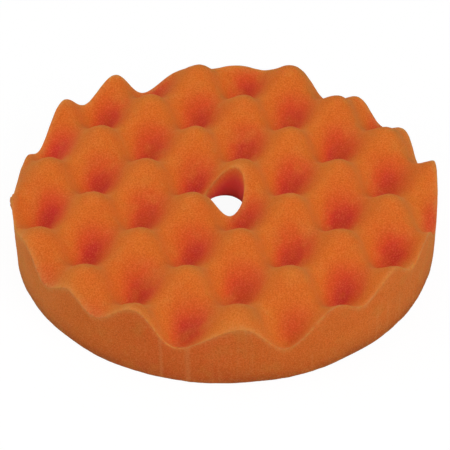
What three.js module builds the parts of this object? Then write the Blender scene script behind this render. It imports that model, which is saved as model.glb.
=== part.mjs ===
// Egg-crate foam polishing pad for a rotary polisher, with a recessed loop-cloth back.
//
// One block of soft foam has a working face of rounded peaks and pits. Its round wall is cut
// straight down through the pattern, so the top of the wall rises and falls. Underneath, a wide
// shallow recess locates a 7 inch backing plate, and a loop cloth is glued to the recess's
// ceiling. A finger-sized hole runs through the middle and flares towards the back.
//
// Millimetres, +Z up. The origin is the middle of the pad's flat bottom rim.

import * as THREE from 'three';

// Outline
const PAD_RADIUS = 101.6; // 8 inch pad
const RECESS_RADIUS = 90; // clears a 7 inch backing plate
const RECESS_DEPTH = 9.5;

// Working face: a wave along each of two crossed directions, multiplied together
const FACE_MID_HEIGHT = 27.4;
const FACE_WAVE_HEIGHT = 10.7; // peaks and pits, above and below the middle height
const PEAK_FULLNESS = 0.03; // peaks a little rounder than the pits
const PEAK_LEAN = 2; // how far the peaks lean towards +X, and the pits towards -X
const HALF_WAVE_X = 23.3; // from a peak to the next pit
const HALF_WAVE_Y = 25.7;
const PATTERN_TURN = THREE.MathUtils.degToRad(-1.56);
const NEAREST_PEAK_X = 7.1; // the peak that the centre hole cuts into, before it leans
const NEAREST_PEAK_Y = 9.9;

// Centre hole
const HOLE_RADIUS = 9.5; // 3/4 inch hole
const FLARE_START_HEIGHT = 17.6; // straight above, widening below
const FLARE_END_RADIUS = 19.5; // where the hole meets the recess

// Loop-cloth back and the film that glues it on
const FILM_THICKNESS = 0.25;
const FILM_INNER_RADIUS = 22.5;
const FILM_OUTER_RADIUS = 88;
const CLOTH_THICKNESS = 2;
const CLOTH_INNER_RADIUS = 22;
const CLOTH_OUTER_RADIUS = 88.5;

// Facets
const FOAM_SEGMENTS = 144;
const FACE_RINGS = 30;
const DISC_SEGMENTS = 96;

const FOAM = new THREE.MeshStandardMaterial({ color: 0xd2682c, roughness: 0.95, metalness: 0 });
const FILM = new THREE.MeshStandardMaterial({ color: 0xd9c9a3, roughness: 0.5, metalness: 0 });
const CLOTH = new THREE.MeshStandardMaterial({ color: 0xdedbd2, roughness: 0.9, metalness: 0 });

// Height of the working face above the bottom rim. Each point leans by its own wave height, so a
// few passes settle on the wave that stands above a place.
function faceHeight(x, y) {
  const dx = x - NEAREST_PEAK_X;
  const dy = y - NEAREST_PEAK_Y;
  const across = dx * Math.cos(PATTERN_TURN) + dy * Math.sin(PATTERN_TURN);
  const along = dy * Math.cos(PATTERN_TURN) - dx * Math.sin(PATTERN_TURN);
  const ridge = Math.cos(Math.PI * along / HALF_WAVE_Y);
  let wave = 0;
  for (let pass = 0; pass < 8; pass += 1) {
    wave = ridge * Math.cos(Math.PI * (across - PEAK_LEAN * wave) / HALF_WAVE_X);
  }
  return FACE_MID_HEIGHT + FACE_WAVE_HEIGHT * (wave + PEAK_FULLNESS * (1 - wave * wave));
}

// A closed profile, as [radius, height] pairs, turned about +Z.
function turned(profile, segments) {
  const points = profile.map(([radius, height]) => new THREE.Vector2(radius, height));
  const geometry = new THREE.LatheGeometry(points, segments);
  geometry.rotateX(Math.PI / 2);
  return geometry;
}

// A flat ring with square edges.
function flatRing(innerRadius, outerRadius, bottom, thickness) {
  const top = bottom + thickness;
  const profile = [
    [innerRadius, bottom],
    [outerRadius, bottom],
    [outerRadius, top],
    [innerRadius, top],
    [innerRadius, bottom],
  ];
  return turned(profile, DISC_SEGMENTS);
}

// The foam block: turned with a flat face first, and then the face is lifted onto the waves.
function foamBlock() {
  const flatFace = 1000; // marks the profile's face points until they are lifted
  const profile = [
    [HOLE_RADIUS, FLARE_START_HEIGHT],
    [FLARE_END_RADIUS, RECESS_DEPTH],
    [RECESS_RADIUS, RECESS_DEPTH],
    [RECESS_RADIUS, 0],
    [PAD_RADIUS, 0],
  ];
  for (let ring = 0; ring <= FACE_RINGS; ring += 1) {
    const radius = THREE.MathUtils.lerp(PAD_RADIUS, HOLE_RADIUS, ring / FACE_RINGS);
    profile.push([radius, flatFace]);
  }
  profile.push(profile[0]);

  const geometry = turned(profile, FOAM_SEGMENTS);
  const position = geometry.attributes.position;
  for (let i = 0; i < position.count; i += 1) {
    if (position.getZ(i) > flatFace / 2) {
      position.setZ(i, faceHeight(position.getX(i), position.getY(i)));
    }
  }
  geometry.computeVertexNormals();
  return geometry;
}

function part(name, geometry, material) {
  const mesh = new THREE.Mesh(geometry, material);
  mesh.name = name;
  return mesh;
}

function adhesiveFilm() {
  const bottom = RECESS_DEPTH - FILM_THICKNESS;
  return flatRing(FILM_INNER_RADIUS, FILM_OUTER_RADIUS, bottom, FILM_THICKNESS);
}

function loopBacking() {
  const bottom = RECESS_DEPTH - FILM_THICKNESS - CLOTH_THICKNESS;
  return flatRing(CLOTH_INNER_RADIUS, CLOTH_OUTER_RADIUS, bottom, CLOTH_THICKNESS);
}

const pad = new THREE.Group();
pad.add(part('foam_pad', foamBlock(), FOAM));
pad.add(part('adhesive_film', adhesiveFilm(), FILM));
pad.add(part('loop_backing', loopBacking(), CLOTH));

export default pad;
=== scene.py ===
"""Egg-crate foam polishing pad: the fine foam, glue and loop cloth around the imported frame.

Metres, +Z up, origin in the middle of the pad's bottom rim. The frame gives the boxes of the CAD
pieces. The CAD source's other driving dimensions are repeated here in metres.
"""

import math

import bpy
import numpy as np
from mathutils import Matrix, Vector


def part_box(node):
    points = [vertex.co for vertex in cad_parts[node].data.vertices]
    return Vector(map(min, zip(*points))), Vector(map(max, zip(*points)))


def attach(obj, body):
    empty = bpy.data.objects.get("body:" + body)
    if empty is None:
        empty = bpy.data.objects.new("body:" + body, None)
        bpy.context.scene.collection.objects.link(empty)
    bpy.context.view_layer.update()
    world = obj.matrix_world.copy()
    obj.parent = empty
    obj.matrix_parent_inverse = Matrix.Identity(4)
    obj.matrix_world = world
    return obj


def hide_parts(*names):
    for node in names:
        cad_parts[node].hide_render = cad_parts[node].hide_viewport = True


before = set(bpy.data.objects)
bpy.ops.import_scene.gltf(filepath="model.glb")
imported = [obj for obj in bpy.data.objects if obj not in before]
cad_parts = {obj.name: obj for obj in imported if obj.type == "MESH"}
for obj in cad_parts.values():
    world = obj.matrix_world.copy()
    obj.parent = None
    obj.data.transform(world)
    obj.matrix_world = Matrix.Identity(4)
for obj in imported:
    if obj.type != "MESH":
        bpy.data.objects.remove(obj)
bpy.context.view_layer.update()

MM = 0.001
RANDOM = np.random.default_rng(41)

# ---- sizes from the frame -------------------------------------------------------------------

PAD_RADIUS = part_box("foam_pad")[1].x
FILM_LOW, FILM_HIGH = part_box("adhesive_film")
CLOTH_LOW, CLOTH_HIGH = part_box("loop_backing")
RECESS_CEILING = FILM_HIGH.z

# ---- sizes that the CAD source states -------------------------------------------------------

RECESS_RADIUS = 90 * MM
FACE_MID_HEIGHT = 27.4 * MM
FACE_WAVE_HEIGHT = 10.7 * MM
PEAK_FULLNESS = 0.03
PEAK_LEAN = 2 * MM
HALF_WAVE_X = 23.3 * MM
HALF_WAVE_Y = 25.7 * MM
PATTERN_TURN = math.radians(-1.56)
NEAREST_PEAK = (7.1 * MM, 9.9 * MM)
HOLE_RADIUS = 9.5 * MM
FLARE_START_HEIGHT = 17.6 * MM
FLARE_END_RADIUS = 19.5 * MM
CLOTH_INNER_RADIUS = 22 * MM

# ---- foam: mesh -----------------------------------------------------------------------------

FOAM_COLUMNS = 600
FACE_ROWS = 82
HOLE_ROWS = 11
FLARE_ROWS = 9
CEILING_ROWS = 13
RECESS_WALL_ROWS = 8
BOTTOM_ROWS = 8
WALL_ROWS = 20
CUT_EDGE_ROUNDING = 0.7 * MM
CUT_EDGE_WEAR = CUT_EDGE_ROUNDING * 0.45
CUT_EDGE_ROW_DEPTHS = np.array([0, 0.15, 0.4, 0.8]) * MM
WAVE_PASSES = 8  # enough for the lean, which depends on the wave itself, to settle

# Amount, size of the features and seed of each layer of soft unevenness.
UNEVENNESS = ((0.28 * MM, 14 * MM, 3), (0.10 * MM, 3.5 * MM, 5))
CELL_ROUGHNESS = 0.05 * MM
BACK_SMOOTH_MARGIN = 0.1 * MM  # the recess stays even up to this far above its ceiling

# A little torn foam on the rim: its place, reach, depth, and the size and seed of its shreds.
TORN_SPOT = (-PAD_RADIUS, -5 * MM, 28 * MM)
TORN_REACH = (5 * MM, 7 * MM, 6 * MM)
TORN_DEPTH = 1.5 * MM
TORN_SHREDS = (2.2 * MM, 7)

# ---- foam: marks, painted shade and painted light -------------------------------------------

PIT_SHADE_SHIFT = (5 * MM, 5 * MM)  # how far most of the pits' painted shade lies off their lowest points
PIT_SHADE_SHIFTED_SHARE, PIT_SHADE_CENTRED_SHARE = 0.7, 0.3
# Painted red light in the hole, as of light bounced in it and shone through its foam; it grows to
# full over this depth below the mouth.
HOLE_PAINTED_LIGHT_DEPTH = 9 * MM
FLARE_PAINTED_LIGHT_LOSS = 0.8  # how much of the hole's painted red light is gone where the flare ends
EDGE_LIGHT = 0.1  # how much less of the pits' painted red shade lies beside a cut edge
EDGE_LIGHT_REACH = 9 * MM
# One pit with less of the pits' painted shade: its place, by how much, and its reach.
LIGHTER_PIT = (28 * MM, -93 * MM)
LIGHTER_PIT_BY = 0.22
LIGHTER_PIT_REACH = 14 * MM
PALE_EDGE_WIDTH = 1.9 * MM
BOTTOM_PALENESS, RECESS_RIM_PALENESS = 0.3, 0.6  # as shares of the other cut edges' paleness

# Painted shade on the cut wall towards the floor: where it ends, and where its deeper band near
# the bottom is full and where it ends.
CONTACT_SHADE_TOP = 15 * MM
DEEP_CONTACT_SHADE_FULL, DEEP_CONTACT_SHADE_TOP = 0.5 * MM, 5.5 * MM
FRONT_MARKS_FULL, FRONT_MARKS_GONE = -85 * MM, -60 * MM  # along Y
FLUSHED_PATCH = (-20 * MM, 50 * MM)  # where along X, and reach, here and below
# Painted light on the wall's left end.
LEFT_LIGHT_PATCH = (-105 * MM, 45 * MM)
KNIFE_SCORES = ((-29.2 * MM, 1.4 * MM), (-17.3 * MM, 2.2 * MM))

# ---- cloth and glue -------------------------------------------------------------------------

GLUE_BEAD = 0.5 * MM
KNIT_THICKNESS = 0.9 * MM
KNIT_RIPPLE = 0.15 * MM
PILE_MARGIN = 0.8 * MM
LOOP_COUNT = 6200
LOOP_STATIONS = 6
LOOP_SIDES = 3
LOOP_YARN_RADIUS = 0.14 * MM
LOOP_HALF_WIDTH = (0.6 * MM, 1.2 * MM)
LOOP_REACH = (0.55, 1.0)  # shortest and longest, as a share of the pile's depth
LOOP_LEAN = 1.2 * MM
LOOP_SHAKE = 0.5 * MM
LOOP_ROOT_DEPTH = 0.1 * MM
LOOP_OVERRUN = 0.12  # how far each end turns on past a half circle, in half circles
GOLDEN_ANGLE = math.pi * (3 - math.sqrt(5))


# ---- small mesh helpers ---------------------------------------------------------------------

HASH_PRIMES = np.array([73856093, 19349663, 83492791])
HASH_SEED_PRIME = 2654435761
HASH_STIR = 1274126177
HASH_TOP = 0x7FFFFFFF


def smooth_noise(points, size, seed):
    """Soft random values between about -1 and 1 at points, with features of that size."""
    grid_points = points / size
    cell = np.floor(grid_points).astype(np.int64)
    part = grid_points - cell
    part = part * part * (3 - 2 * part)
    total = np.zeros(len(points))
    for corner in range(8):
        step = np.array([corner & 1, corner >> 1 & 1, corner >> 2 & 1])
        mixed = np.bitwise_xor.reduce((cell + step) * HASH_PRIMES, axis=1) ^ seed * HASH_SEED_PRIME
        mixed = (mixed ^ mixed >> 13) * HASH_STIR & HASH_TOP
        value = mixed / (HASH_TOP // 2) - 1
        weight = np.prod(np.where(step == 1, part, 1 - part), axis=1)
        total += value * weight
    return total


def grid_faces(rows, columns, wrap_rows):
    """Quads between neighbouring rows of a tube-like grid that closes round its columns."""
    row = np.arange(rows if wrap_rows else rows - 1)[:, None]
    column = np.arange(columns)[None, :]
    next_row = (row + 1) % rows
    next_column = (column + 1) % columns
    corners = (
        row * columns + column,
        row * columns + next_column,
        next_row * columns + next_column,
        next_row * columns + column,
    )
    return np.stack([np.broadcast_to(c, (len(row), columns)) for c in corners], -1).reshape(-1, 4)


def grid_normals(points):
    """Unit normals of a (rows, columns, 3) grid that closes both ways."""
    along = np.roll(points, -1, axis=0) - np.roll(points, 1, axis=0)
    around = np.roll(points, -1, axis=1) - np.roll(points, 1, axis=1)
    normal = np.cross(around, along)
    return normal / np.maximum(np.linalg.norm(normal, axis=2, keepdims=True), 1e-12)


def make_object(name, points, faces, material, attributes=None):
    """A smooth-shaded mesh object. faces is a list; each attribute has one number per point."""
    mesh = bpy.data.meshes.new(name)
    mesh.from_pydata(points.tolist(), [], faces)
    mesh.update()
    mesh.shade_smooth()
    for label, values in (attributes or {}).items():
        layer = mesh.attributes.new(label, "FLOAT", "POINT")
        layer.data.foreach_set("value", np.asarray(values, dtype=np.float32))
    mesh.materials.append(material)
    obj = bpy.data.objects.new(name, mesh)
    bpy.context.scene.collection.objects.link(obj)
    return obj


# ---- materials ------------------------------------------------------------------------------

class Nodes:
    """A material's node tree, with short calls for the nodes that the materials below share."""

    def __init__(self, name):
        self.material = bpy.data.materials.new(name)
        self.material.use_nodes = True
        self.tree = self.material.node_tree
        self.shader = self.tree.nodes["Principled BSDF"]
        self.place = self.tree.nodes.new("ShaderNodeTexCoord").outputs["Object"]
        split = self.tree.nodes.new("ShaderNodeSeparateXYZ")
        self.put(split.inputs[0], self.place)
        self.x, self.y, self.height = (split.outputs[axis] for axis in "XYZ")

    def put(self, socket, value):
        """Link an output to the socket, or set the socket's own value."""
        if isinstance(value, bpy.types.NodeSocket):
            self.tree.links.new(value, socket)
        else:
            socket.default_value = value

    def stretched(self, scale):
        node = self.tree.nodes.new("ShaderNodeMapping")
        self.put(node.inputs["Vector"], self.place)
        node.inputs["Scale"].default_value = scale
        return node.outputs["Vector"]

    def noise(self, scale, detail=2, roughness=0.5, vector=None):
        node = self.tree.nodes.new("ShaderNodeTexNoise")
        self.put(node.inputs["Vector"], vector or self.place)
        node.inputs["Scale"].default_value = scale
        node.inputs["Detail"].default_value = detail
        node.inputs["Roughness"].default_value = roughness
        return node.outputs["Fac"]

    def cells(self, scale, vector=None):
        node = self.tree.nodes.new("ShaderNodeTexVoronoi")
        self.put(node.inputs["Vector"], vector or self.place)
        node.inputs["Scale"].default_value = scale
        return node.outputs["Distance"]

    def attribute(self, name):
        node = self.tree.nodes.new("ShaderNodeAttribute")
        node.attribute_name = name
        return node.outputs["Fac"]

    def math(self, operation, a, b=0.0):
        node = self.tree.nodes.new("ShaderNodeMath")
        node.operation = operation
        self.put(node.inputs[0], a)
        self.put(node.inputs[1], b)
        return node.outputs[0]

    def product(self, a, b):
        return self.math("MULTIPLY", a, b)

    def spread(self, value, low, high, to_low=0.0, to_high=1.0):
        """value from low..high smoothly onto to_low..to_high, held at the ends."""
        node = self.tree.nodes.new("ShaderNodeMapRange")
        node.interpolation_type = "SMOOTHSTEP"
        self.put(node.inputs["Value"], value)
        limits = ("From Min", low), ("From Max", high), ("To Min", to_low), ("To Max", to_high)
        for socket, limit in limits:
            node.inputs[socket].default_value = limit
        return node.outputs["Result"]

    def near(self, value, centre, reach):
        """1 where value is centre, down to 0 at that reach from it."""
        off = self.math("ABSOLUTE", self.math("SUBTRACT", value, centre))
        return self.spread(off, 0.0, reach, 1.0, 0.0)

    def mix(self, amount, a, b):
        node = self.tree.nodes.new("ShaderNodeMix")
        node.data_type = "RGBA"
        self.put(node.inputs["Factor"], amount)
        self.put(node.inputs["A"], a)
        self.put(node.inputs["B"], b)
        return node.outputs["Result"]

    def bump(self, height, strength, distance):
        node = self.tree.nodes.new("ShaderNodeBump")
        node.inputs["Strength"].default_value = strength
        node.inputs["Distance"].default_value = distance
        self.put(node.inputs["Height"], height)
        return node.outputs["Normal"]

    def finish(self, color, normal, **settings):
        """Join the colour and the normal to the shader, and set its named values."""
        self.put(self.shader.inputs["Base Color"], color)
        self.put(self.shader.inputs["Normal"], normal)
        for name, value in settings.items():
            self.put(self.shader.inputs[name.replace("_", " ")], value)
        return self.material


# Foam colours, linear.
ORANGE = (0.87, 0.217, 0.024, 1)
# Painted shade in the pits, reddened as by light bounced between the foam's walls.
PIT_SHADE_RED = (0.84, 0.070, 0.032, 1)
DEEP_PIT_SHADE_RED = (0.70, 0.030, 0.044, 1)
PEAK_OCHRE = (0.67, 0.220, 0.034, 1)
CUT_ORANGE = (0.97, 0.212, 0.029, 1)
# Painted shade on the wall towards the floor.
CONTACT_SHADE_BROWN = (0.50, 0.11, 0.02, 1)
DEEP_CONTACT_SHADE_BROWN = (0.33, 0.07, 0.018, 1)
FLUSHED_RED = (0.86, 0.11, 0.026, 1)
# Painted light on the wall's left end.
LEFT_LIGHT_ORANGE = (0.92, 0.38, 0.10, 1)
BLOTCH_ORANGE = (0.86, 0.175, 0.023, 1)
FADED_ORANGE = (0.84, 0.27, 0.042, 1)
STREAK_PALE = (0.95, 0.36, 0.10, 1)
SCORE_PALE = (0.95, 0.38, 0.12, 1)
# Painted shade inside the pores.
PORE_SHADE = (0.42, 0.06, 0.006, 1)
GRAIN_DARK = (0.60, 0.10, 0.008, 1)
# The grain's pale specks, which also stand in for painted glints off the cell walls.
GRAIN_AND_GLINT_PALE = (0.98, 0.38, 0.12, 1)
# Painted red light inside the hole.
HOLE_PAINTED_LIGHT_RED = (1.0, 0.070, 0.068, 1)
# Pale frayed foam, with a painted highlight, along the cut edges.
FRAYED_AND_HIGHLIGHT_PALE = (0.88, 0.38, 0.10, 1)
SHEEN_GOLD = (1.0, 0.62, 0.22, 1)

# Cloth and glue colours, linear.
KNIT_DARK, KNIT_PALE = (0.52, 0.50, 0.46, 1), (0.64, 0.62, 0.58, 1)
# Painted shade in the gaps between the knit's ribs.
KNIT_GAP_SHADE = (0.26, 0.245, 0.22, 1)
LOOP_DARK, LOOP_PALE = (0.74, 0.725, 0.68, 1), (0.88, 0.87, 0.83, 1)
# Painted shade in the grooves of the yarn's twist.
LOOP_TWIST_SHADE = (0.48, 0.46, 0.42, 1)
GLUE_DARK, GLUE_PALE = (0.55, 0.36, 0.16, 1), (0.70, 0.52, 0.28, 1)
GLUE_BUBBLE = (0.85, 0.75, 0.55, 1)


def foam_tone(nodes, pit, cut):
    """Orange with red painted shade in the face's pits and ochre peaks, and a brighter orange
    where it is cut.
    """
    tone = nodes.mix(nodes.spread(pit, 0.42, 0.92), ORANGE, PIT_SHADE_RED)
    tone = nodes.mix(nodes.spread(pit, 0.78, 0.95, 0.0, 0.75), tone, DEEP_PIT_SHADE_RED)
    tone = nodes.mix(nodes.spread(pit, 0.0, 0.2, 0.6, 0.0), tone, PEAK_OCHRE)
    return nodes.mix(cut, tone, CUT_ORANGE)


def wall_shade_and_marks(nodes, tone, cut, front):
    """Painted shade darkening the wall towards its bottom edge, a redder patch in front and
    painted light paling its left end.
    """
    # Painted shade, darker towards the wall's bottom edge and deepest in its lowest millimetres.
    contact_shade = nodes.product(cut, nodes.spread(nodes.height, 0.0, CONTACT_SHADE_TOP, 0.6, 0.0))
    tone = nodes.mix(contact_shade, tone, CONTACT_SHADE_BROWN)
    deep_contact_shade = nodes.product(cut, nodes.spread(nodes.height, DEEP_CONTACT_SHADE_FULL, DEEP_CONTACT_SHADE_TOP, 0.65, 0.0))
    tone = nodes.mix(deep_contact_shade, tone, DEEP_CONTACT_SHADE_BROWN)
    flushed = nodes.product(front, nodes.near(nodes.x, *FLUSHED_PATCH))
    tone = nodes.mix(nodes.product(flushed, 0.45), tone, FLUSHED_RED)
    # Painted light paling the wall's left end.
    left_light = nodes.product(cut, nodes.near(nodes.x, *LEFT_LIGHT_PATCH))
    return nodes.mix(nodes.product(left_light, 0.25), tone, LEFT_LIGHT_ORANGE)


def uneven_dye(nodes, tone):
    """Large soft blotches over the whole block."""
    blotches = nodes.spread(nodes.noise(55, 3, 0.55), 0.3, 0.7, 0.0, 0.5)
    tone = nodes.mix(blotches, tone, BLOTCH_ORANGE)
    faded = nodes.spread(nodes.noise(95, 2, 0.5), 0.5, 0.75, 0.0, 0.4)
    return nodes.mix(faded, tone, FADED_ORANGE)


def knife_marks(nodes, tone, cut, front):
    """Fine upright streaks here and there on the cut wall, and single scores in front."""
    upright = nodes.noise(420, 2, 0.5, nodes.stretched((1, 1, 0.03)))
    patches = nodes.spread(nodes.noise(32, 1), 0.5, 0.62)
    streaks = nodes.product(nodes.spread(upright, 0.52, 0.75, 0.0, 0.22), cut)
    tone = nodes.mix(nodes.product(streaks, patches), tone, STREAK_PALE)
    for place, reach in KNIFE_SCORES:
        score = nodes.product(front, nodes.near(nodes.x, place, reach))
        tone = nodes.mix(nodes.product(score, 0.3), tone, SCORE_PALE)
    return tone


def foam_material():
    """Open-cell foam: small pores and a warmer, redder tone in the pits, both painted shade,
    painted red light in the hole, and pale frayed cut edges with a painted highlight.
    """
    nodes = Nodes("orange_foam")
    pit, cut, edge, hole = (nodes.attribute(name) for name in ("pit", "cut", "edge", "hole"))
    in_front = nodes.spread(nodes.y, FRONT_MARKS_FULL, FRONT_MARKS_GONE, 1.0, 0.0)
    front = nodes.product(cut, in_front)

    tone = foam_tone(nodes, pit, cut)
    tone = wall_shade_and_marks(nodes, tone, cut, front)
    tone = uneven_dye(nodes, tone)
    tone = knife_marks(nodes, tone, cut, front)

    pores = nodes.cells(2100)
    grain = nodes.noise(1500, 2, 0.65)
    # Painted shade inside the pores.
    tone = nodes.mix(nodes.spread(pores, 0.1, 0.30, 0.35, 0.0), tone, PORE_SHADE)
    tone = nodes.mix(nodes.spread(grain, 0.3, 0.55, 0.45, 0.0), tone, GRAIN_DARK)
    # Pale specks: the foam's grain and painted glints off its cell walls.
    tone = nodes.mix(nodes.spread(grain, 0.48, 0.7, 0.0, 0.3), tone, GRAIN_AND_GLINT_PALE)

    # Painted red light inside the hole, as of light bounced in it and shone through its foam.
    tone = nodes.mix(nodes.product(hole, 0.9), tone, HOLE_PAINTED_LIGHT_RED)
    # Pale frayed foam along the cut edges, with a painted highlight on them.
    frays_and_highlight = nodes.spread(nodes.noise(600, 2, 0.6), 0.3, 0.6, 0.15, 0.5)
    tone = nodes.mix(nodes.product(edge, frays_and_highlight), tone, FRAYED_AND_HIGHLIGHT_PALE)

    height = nodes.math("ADD", nodes.product(nodes.spread(pores, 0.15, 0.62), 0.6), grain)
    return nodes.finish(
        tone,
        nodes.bump(height, 0.55, 0.25 * MM),
        Roughness=0.92,
        Specular_IOR_Level=0.15,
        Sheen_Weight=0.25,
        Sheen_Roughness=0.3,
        Sheen_Tint=SHEEN_GOLD,
        Subsurface_Weight=0.5,
        Subsurface_Radius=(4.5 * MM, 1.2 * MM, 0.5 * MM),
        Subsurface_Scale=1.0,
    )


def knit_material():
    """Tight warp-knit ground: fine ribs along X crossed by stitches, a little uneven."""
    nodes = Nodes("knit_ground")
    ribs = nodes.cells(1500, nodes.stretched((0.45, 1, 1)))
    tone = nodes.mix(nodes.noise(60, 3), KNIT_DARK, KNIT_PALE)
    # Painted shade in the gaps between the ribs.
    return nodes.finish(
        nodes.mix(nodes.spread(ribs, 0.1, 0.6, 0.45, 0.0), tone, KNIT_GAP_SHADE),
        nodes.bump(ribs, 0.8, 0.25 * MM),
        Roughness=0.85,
        Specular_IOR_Level=0.25,
        Sheen_Weight=0.3,
    )


def loop_material():
    """Nylon pile: off-white, slightly glossy, with a tone that varies from loop to loop."""
    nodes = Nodes("loop_pile")
    tone = nodes.mix(nodes.noise(300, 2), LOOP_DARK, LOOP_PALE)
    twist = nodes.noise(5200, 2, 0.6)
    # Painted shade in the grooves of the yarn's twist.
    return nodes.finish(
        nodes.mix(nodes.spread(twist, 0.3, 0.6, 0.25, 0.0), tone, LOOP_TWIST_SHADE),
        nodes.bump(twist, 0.4, 0.05 * MM),
        Roughness=0.5,
        Specular_IOR_Level=0.4,
        Sheen_Weight=0.25,
    )


def film_material():
    """Set hot-melt glue: milky amber, with small bubbles and a soft shine."""
    nodes = Nodes("hot_melt_film")
    bubbles = nodes.cells(1300)
    tone = nodes.mix(nodes.noise(120, 3), GLUE_DARK, GLUE_PALE)
    tone = nodes.mix(nodes.spread(bubbles, 0.1, 0.35, 0.4, 0.0), tone, GLUE_BUBBLE)
    return nodes.finish(tone, nodes.bump(bubbles, 0.5, 0.15 * MM), Roughness=0.35)


# ---- foam -----------------------------------------------------------------------------------

def face_wave(x, y):
    """The egg-crate wave at a point, from -1 in a pit to 1 on a peak."""
    dx, dy = x - NEAREST_PEAK[0], y - NEAREST_PEAK[1]
    across = dx * math.cos(PATTERN_TURN) + dy * math.sin(PATTERN_TURN)
    along = dy * math.cos(PATTERN_TURN) - dx * math.sin(PATTERN_TURN)
    ridge = np.cos(np.pi * along / HALF_WAVE_Y)
    wave = 0.0
    for _ in range(WAVE_PASSES):
        wave = ridge * np.cos(np.pi * (across - PEAK_LEAN * wave) / HALF_WAVE_X)
    return wave


def face_height(x, y):
    """The working face above the bottom rim."""
    wave = face_wave(x, y)
    return FACE_MID_HEIGHT + FACE_WAVE_HEIGHT * (wave + PEAK_FULLNESS * (1 - wave * wave))


def dulled(distance):
    """How far a cut edge is worn down at that distance from it."""
    near = np.clip(1 - distance / CUT_EDGE_ROUNDING, 0, 1)
    return CUT_EDGE_WEAR * near ** 2


def paleness(distance):
    """How frayed and pale the foam is, with a painted highlight, at that distance from a cut edge,
    from 1 down to 0.
    """
    return np.exp(-(distance / PALE_EDGE_WIDTH) ** 2)


def steps(count):
    """Even steps up to 1, without the 0, where the row before them already lies."""
    return np.linspace(0, 1, count + 1)[1:]


def rounded_steps(length, count):
    """0 to 1 over that length in even steps, but closer at both ends for the edges' rounding."""
    ends = CUT_EDGE_ROW_DEPTHS / length
    middle = np.linspace(ends[-1], 1 - ends[-1], count + 1)[1:-1]
    return np.concatenate([ends, middle, 1 - ends[::-1]])


def between(start, end, t):
    return start + (end - start) * t


class FoamRows:
    """The foam's skin, gathered row by row: each row is one ring of columns round the axis."""

    ATTRIBUTES = ("pit", "cut", "edge", "hole")

    def __init__(self):
        angle = np.linspace(0, 2 * math.pi, FOAM_COLUMNS, endpoint=False)
        self.cosine, self.sine = np.cos(angle), np.sin(angle)
        self.rows = []

    def circle(self, radius):
        return radius * self.cosine, radius * self.sine

    def add(self, radius, height, pit=0.0, cut=1.0, edge=0.0, hole=0.0):
        """One row of points; each value is one number or one per column."""
        values = (*self.circle(radius), height, pit, cut, edge, hole)
        self.rows.append([np.broadcast_to(v, FOAM_COLUMNS) for v in values])

    def add_face(self):
        """The working face, from the rim in to the hole."""
        for t in rounded_steps(PAD_RADIUS - HOLE_RADIUS, FACE_ROWS):
            radius = between(PAD_RADIUS, HOLE_RADIUS, t)
            x, y = self.circle(radius)
            # The pits' painted shade: mostly shifted off the pits' lowest points, and less beside
            # the cut edges and at one lighter pit.
            shifted_shade_wave = face_wave(x - PIT_SHADE_SHIFT[0], y - PIT_SHADE_SHIFT[1])
            pit = (1 - PIT_SHADE_CENTRED_SHARE * face_wave(x, y) - PIT_SHADE_SHIFTED_SHARE * shifted_shade_wave) / 2
            from_edge = min(PAD_RADIUS - radius, radius - HOLE_RADIUS)
            from_lighter_pit = np.hypot(x - LIGHTER_PIT[0], y - LIGHTER_PIT[1])
            pit = pit - EDGE_LIGHT * math.exp(-(from_edge / EDGE_LIGHT_REACH) ** 2)
            pit = pit - LIGHTER_PIT_BY * np.exp(-(from_lighter_pit / LIGHTER_PIT_REACH) ** 2)
            height = face_height(x, y) - dulled(from_edge)
            self.add(radius, height, pit, 0.0, paleness(from_edge))

    def add_hole(self):
        """The straight hole, then its flare down to the recess."""
        mouth = face_height(*self.circle(HOLE_RADIUS))
        # hole carries the painted red light: growing down the straight hole, fading along the
        # flare.
        for t in steps(HOLE_ROWS):
            depth = (mouth - FLARE_START_HEIGHT) * t
            self.add(HOLE_RADIUS + dulled(depth), mouth - depth - CUT_EDGE_WEAR * (1 - t),
                     pit=1.0, hole=np.clip(depth / HOLE_PAINTED_LIGHT_DEPTH, 0, 1), edge=paleness(depth))
        for t in steps(FLARE_ROWS):
            self.add(between(HOLE_RADIUS, FLARE_END_RADIUS, t),
                     between(FLARE_START_HEIGHT, RECESS_CEILING, t), hole=1 - FLARE_PAINTED_LIGHT_LOSS * t)

    def add_back(self):
        """The recess's ceiling and wall, and the flat ring that the pad stands on."""
        for t in steps(CEILING_ROWS):
            self.add(between(FLARE_END_RADIUS, RECESS_RADIUS, t), RECESS_CEILING)
        for t in steps(RECESS_WALL_ROWS):
            height = RECESS_CEILING * (1 - t)
            self.add(RECESS_RADIUS + dulled(height), height,
                     edge=paleness(height) * RECESS_RIM_PALENESS)
        for t in steps(BOTTOM_ROWS)[:-1]:
            self.add(between(RECESS_RADIUS, PAD_RADIUS, t), 0.0)

    def add_wall(self):
        """The cut outer wall, from the bottom up to the face's wavy rim."""
        rim = face_height(*self.circle(PAD_RADIUS))
        for t in rounded_steps(FACE_MID_HEIGHT, WALL_ROWS):
            height = (rim - CUT_EDGE_WEAR) * t
            below_rim = rim - height
            self.add(PAD_RADIUS - (dulled(height) + dulled(below_rim)), height,
                     edge=np.maximum(paleness(below_rim), paleness(height) * BOTTOM_PALENESS))


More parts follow.
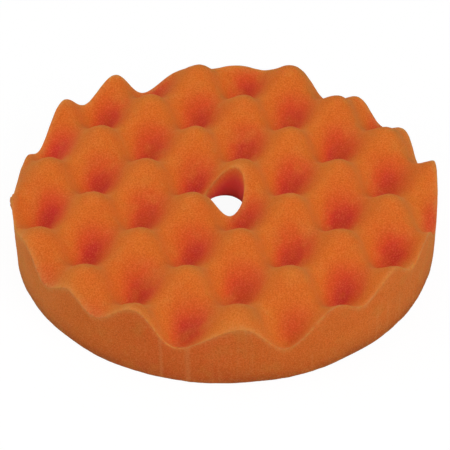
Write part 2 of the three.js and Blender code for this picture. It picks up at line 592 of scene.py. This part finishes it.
def roughened(points):
    """The foam's points, moved along their normals: soft unevenness, cells and the torn spot."""
    normals = grid_normals(points).reshape(-1, 3)
    flat = points.reshape(-1, 3)
    uneven = sum(amount * smooth_noise(flat, size, seed) for amount, size, seed in UNEVENNESS)
    uneven += CELL_ROUGHNESS * RANDOM.uniform(-1, 1, len(flat))
    under_ceiling = flat[:, 2] < RECESS_CEILING + BACK_SMOOTH_MARGIN
    within_recess = np.hypot(flat[:, 0], flat[:, 1]) < RECESS_RADIUS
    uneven[under_ceiling & within_recess] = 0
    from_tear = np.linalg.norm((flat - TORN_SPOT) / TORN_REACH, axis=1)
    uneven += TORN_DEPTH * np.exp(-from_tear ** 2) * np.abs(smooth_noise(flat, *TORN_SHREDS))
    flat = flat + normals * uneven[:, None]
    flat[:, 2] = np.maximum(flat[:, 2], 0)
    return flat


def foam_block():
    """The whole foam skin as one closed grid: columns round the axis, rows along the profile."""
    skin = FoamRows()
    skin.add_face()
    skin.add_hole()
    skin.add_back()
    skin.add_wall()

    grid = np.array(skin.rows)
    points = grid[:, :3].transpose(0, 2, 1)
    faces = grid_faces(len(grid), FOAM_COLUMNS, wrap_rows=True).tolist()
    values = {name: grid[:, 3 + i].ravel() for i, name in enumerate(FoamRows.ATTRIBUTES)}
    return make_object("foam_body", roughened(points), faces, foam_material(), values)


# ---- cloth and glue -------------------------------------------------------------------------

EDGE_NOISE_RADIUS = 30 * MM
INNER_EDGE_NOISE = (2.5 * MM, 11)  # size of the features and seed, here and below
OUTER_EDGE_NOISE = (1.2 * MM, 12)
RIPPLE_NOISE = (1.6 * MM, 13)


def ring_sheet(name, inner, outer, low, high, rows, columns, material, wander=0.0, ripple=0.0):
    """A thin closed ring. Its edges wander and its lower face ripples by the amounts given."""
    angle = np.linspace(0, 2 * math.pi, columns, endpoint=False)
    circle = np.stack([np.cos(angle), np.sin(angle), angle * 0], 1) * EDGE_NOISE_RADIUS
    inner_edge = inner - wander * np.abs(smooth_noise(circle, *INNER_EDGE_NOISE))
    outer_edge = outer + wander * np.abs(smooth_noise(circle, *OUTER_EDGE_NOISE))
    across = np.concatenate([np.linspace(0, 1, rows), np.linspace(1, 0, rows)])[:, None]
    level = np.concatenate([np.full(rows, low), np.full(rows, high)])[:, None]
    radius = between(inner_edge, outer_edge, across)
    height = np.broadcast_to(level, radius.shape)
    points = np.stack([radius * np.cos(angle), radius * np.sin(angle), height], 2).reshape(-1, 3)
    below = points[:, 2] < (low + high) / 2
    points[below, 2] += ripple * np.abs(smooth_noise(points[below], *RIPPLE_NOISE))
    faces = grid_faces(2 * rows, columns, wrap_rows=True).tolist()
    return make_object(name, points, faces, material)


def loop_spots(inner, outer, count):
    """Evenly scattered places on a ring: a sunflower spiral, shaken a little."""
    index = np.arange(count) + 0.5
    radius = np.sqrt(inner ** 2 + (outer ** 2 - inner ** 2) * index / count)
    angle = index * GOLDEN_ANGLE
    spots = np.stack([radius * np.cos(angle), radius * np.sin(angle)], 1)
    return spots + RANDOM.uniform(-LOOP_SHAKE, LOOP_SHAKE, spots.shape)


def unit(vectors):
    return vectors / np.linalg.norm(vectors, axis=2, keepdims=True)


def loop_pile(inner, outer, low, high, material):
    """The brushed pile: small yarn loops that stand down from the knit, all askew."""
    spots = loop_spots(inner, outer, LOOP_COUNT)
    turn = RANDOM.uniform(0, 2 * math.pi, LOOP_COUNT)
    half_width = RANDOM.uniform(*LOOP_HALF_WIDTH, LOOP_COUNT)
    drop = (high - low - LOOP_YARN_RADIUS) * RANDOM.uniform(*LOOP_REACH, LOOP_COUNT)
    lean = RANDOM.uniform(-LOOP_LEAN, LOOP_LEAN, (LOOP_COUNT, 2))

    sweep = np.linspace(-LOOP_OVERRUN, 1 + LOOP_OVERRUN, LOOP_STATIONS) * math.pi
    rise = np.clip(np.sin(sweep), 0, 1)
    out = -np.cos(sweep)[None, :] * half_width[:, None]
    centre = np.empty((LOOP_COUNT, LOOP_STATIONS, 3))
    centre[..., 0] = spots[:, None, 0] + np.cos(turn)[:, None] * out + lean[:, None, 0] * rise
    centre[..., 1] = spots[:, None, 1] + np.sin(turn)[:, None] * out + lean[:, None, 1] * rise
    centre[..., 2] = high + LOOP_ROOT_DEPTH - drop[:, None] * rise

    tangent = unit(np.gradient(centre, axis=1))
    sideways = np.stack([-np.sin(turn), np.cos(turn), turn * 0], 1)[:, None, :]
    first = unit(sideways - tangent * (sideways * tangent).sum(2, keepdims=True))
    second = np.cross(tangent, first)
    around = np.arange(LOOP_SIDES) * 2 * math.pi / LOOP_SIDES
    section = (
        first[:, :, None, :] * np.cos(around)[None, None, :, None]
        + second[:, :, None, :] * np.sin(around)[None, None, :, None]
    )
    points = (centre[:, :, None, :] + section * LOOP_YARN_RADIUS).reshape(-1, 3)

    loop_points = LOOP_STATIONS * LOOP_SIDES
    starts = (np.arange(LOOP_COUNT) * loop_points)[:, None, None]
    tubes = grid_faces(LOOP_STATIONS, LOOP_SIDES, wrap_rows=False)[None] + starts
    first_cap = np.arange(LOOP_SIDES)[::-1]
    caps = np.stack([first_cap, loop_points - 1 - first_cap])[None] + starts
    faces = tubes.reshape(-1, 4).tolist() + caps.reshape(-1, LOOP_SIDES).tolist()
    return make_object("loop_pile", points, faces, material)


# ---- stage ----------------------------------------------------------------------------------

CAMERA_ELEVATION = math.radians(40.92)
CAMERA_DISTANCE = 0.9237
CAMERA_ROLL = math.radians(-0.56)
CAMERA_LENS = 151.1  # millimetres, for the default 36 mm sensor
CAMERA_LIFT = math.radians(0.324)  # how far above the origin it aims
CAMERA_CLIP = (0.01, 20)

LIGHTS = (  # name, place, diameter and watts
    ("key", (1.07, -1.24, 1.24), 1.3, 15),
    ("left", (-1.9, -0.15, 0.92), 1.7, 11.6),
    ("top", (0.0, 0.05, 1.8), 1.4, 4.3),
)
FLOOR_HALF_WIDTH = 4.0
FLOOR_GAP = 0.02 * MM
FLOOR_GREY = (0.45, 0.45, 0.45, 1)
FLOOR_SEEN = 1.12
FLOOR_SEEN_SHARE = 0.85
SURROUND_LIGHT = 0.32
SURROUND_SEEN = 1.02


def place_camera():
    data = bpy.data.cameras.new("camera")
    data.lens = CAMERA_LENS
    data.clip_start, data.clip_end = CAMERA_CLIP
    camera = bpy.data.objects.new("camera", data)
    bpy.context.scene.collection.objects.link(camera)
    bpy.context.scene.camera = camera
    turn = Matrix.Rotation(math.pi / 2 - CAMERA_ELEVATION, 4, "X")
    back = turn @ Vector((0, 0, CAMERA_DISTANCE))
    aim = Matrix.Rotation(CAMERA_LIFT, 4, "X") @ Matrix.Rotation(CAMERA_ROLL, 4, "Z")
    camera.matrix_world = Matrix.Translation(back) @ turn @ aim


def area_light(name, place, diameter, power):
    """A round soft light at that place, facing the origin."""
    data = bpy.data.lights.new(name, "AREA")
    data.shape = "DISK"
    data.size = diameter
    data.energy = power
    light = bpy.data.objects.new(name, data)
    light.location = place
    light.rotation_mode = "QUATERNION"
    light.rotation_quaternion = (-Vector(place)).to_track_quat("-Z", "Y")
    bpy.context.scene.collection.objects.link(light)


def show_camera(tree, ordinary, seen, output, share=1.0):
    """Give the camera that share of the seen shader, and all other light the ordinary one."""
    path = tree.nodes.new("ShaderNodeLightPath")
    amount = tree.nodes.new("ShaderNodeMath")
    amount.operation = "MULTIPLY"
    amount.inputs[1].default_value = share
    mix = tree.nodes.new("ShaderNodeMixShader")
    tree.links.new(path.outputs["Is Camera Ray"], amount.inputs[0])
    tree.links.new(amount.outputs[0], mix.inputs["Fac"])
    tree.links.new(ordinary.outputs[0], mix.inputs[1])
    tree.links.new(seen.outputs[0], mix.inputs[2])
    tree.links.new(mix.outputs[0], tree.nodes[output].inputs["Surface"])


def floor_material():
    """A pale paper sweep that the camera sees almost white."""
    material = bpy.data.materials.new("floor_paper")
    material.use_nodes = True
    tree = material.node_tree
    paper = tree.nodes["Principled BSDF"]
    paper.inputs["Base Color"].default_value = FLOOR_GREY
    paper.inputs["Roughness"].default_value = 0.9
    glow = tree.nodes.new("ShaderNodeEmission")
    glow.inputs["Strength"].default_value = FLOOR_SEEN
    show_camera(tree, paper, glow, "Material Output", FLOOR_SEEN_SHARE)
    return material


def white_world():
    """Soft light from all round. The camera sees it as white as the floor."""
    world = bpy.data.worlds.new("studio")
    world.use_nodes = True
    tree = world.node_tree
    light = tree.nodes["Background"]
    seen = tree.nodes.new("ShaderNodeBackground")
    for background, strength in ((light, SURROUND_LIGHT), (seen, SURROUND_SEEN)):
        background.inputs["Color"].default_value = (1, 1, 1, 1)
        background.inputs["Strength"].default_value = strength
    show_camera(tree, light, seen, "World Output")
    return world


def studio():
    scene = bpy.context.scene
    scene.world = white_world()
    scene.view_settings.view_transform = "Standard"
    for light in LIGHTS:
        area_light(*light)

    corners = np.array([[-1, -1, 0], [1, -1, 0], [1, 1, 0], [-1, 1, 0]]) * FLOOR_HALF_WIDTH
    floor = make_object("floor", corners, [[0, 1, 2, 3]], floor_material())
    floor.location.z = -FLOOR_GAP


# ---- assembly -------------------------------------------------------------------------------

place_camera()

foam = foam_block()
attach(foam, "root")
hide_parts("foam_pad")

film = ring_sheet("glue_film", CLOTH_INNER_RADIUS, CLOTH_HIGH.x, FILM_LOW.z, FILM_HIGH.z,
                  rows=16, columns=360, material=film_material(), wander=GLUE_BEAD)
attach(film, "root")
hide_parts("adhesive_film")

knit_low = CLOTH_HIGH.z - KNIT_THICKNESS
knit = ring_sheet("knit_ground", CLOTH_INNER_RADIUS, CLOTH_HIGH.x, knit_low, CLOTH_HIGH.z,
                  rows=56, columns=420, material=knit_material(), ripple=KNIT_RIPPLE)
pile = loop_pile(CLOTH_INNER_RADIUS + PILE_MARGIN, CLOTH_HIGH.x - PILE_MARGIN,
                 CLOTH_LOW.z, knit_low, loop_material())
for cloth in (knit, pile):
    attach(cloth, "root")
    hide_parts("loop_backing")

studio()
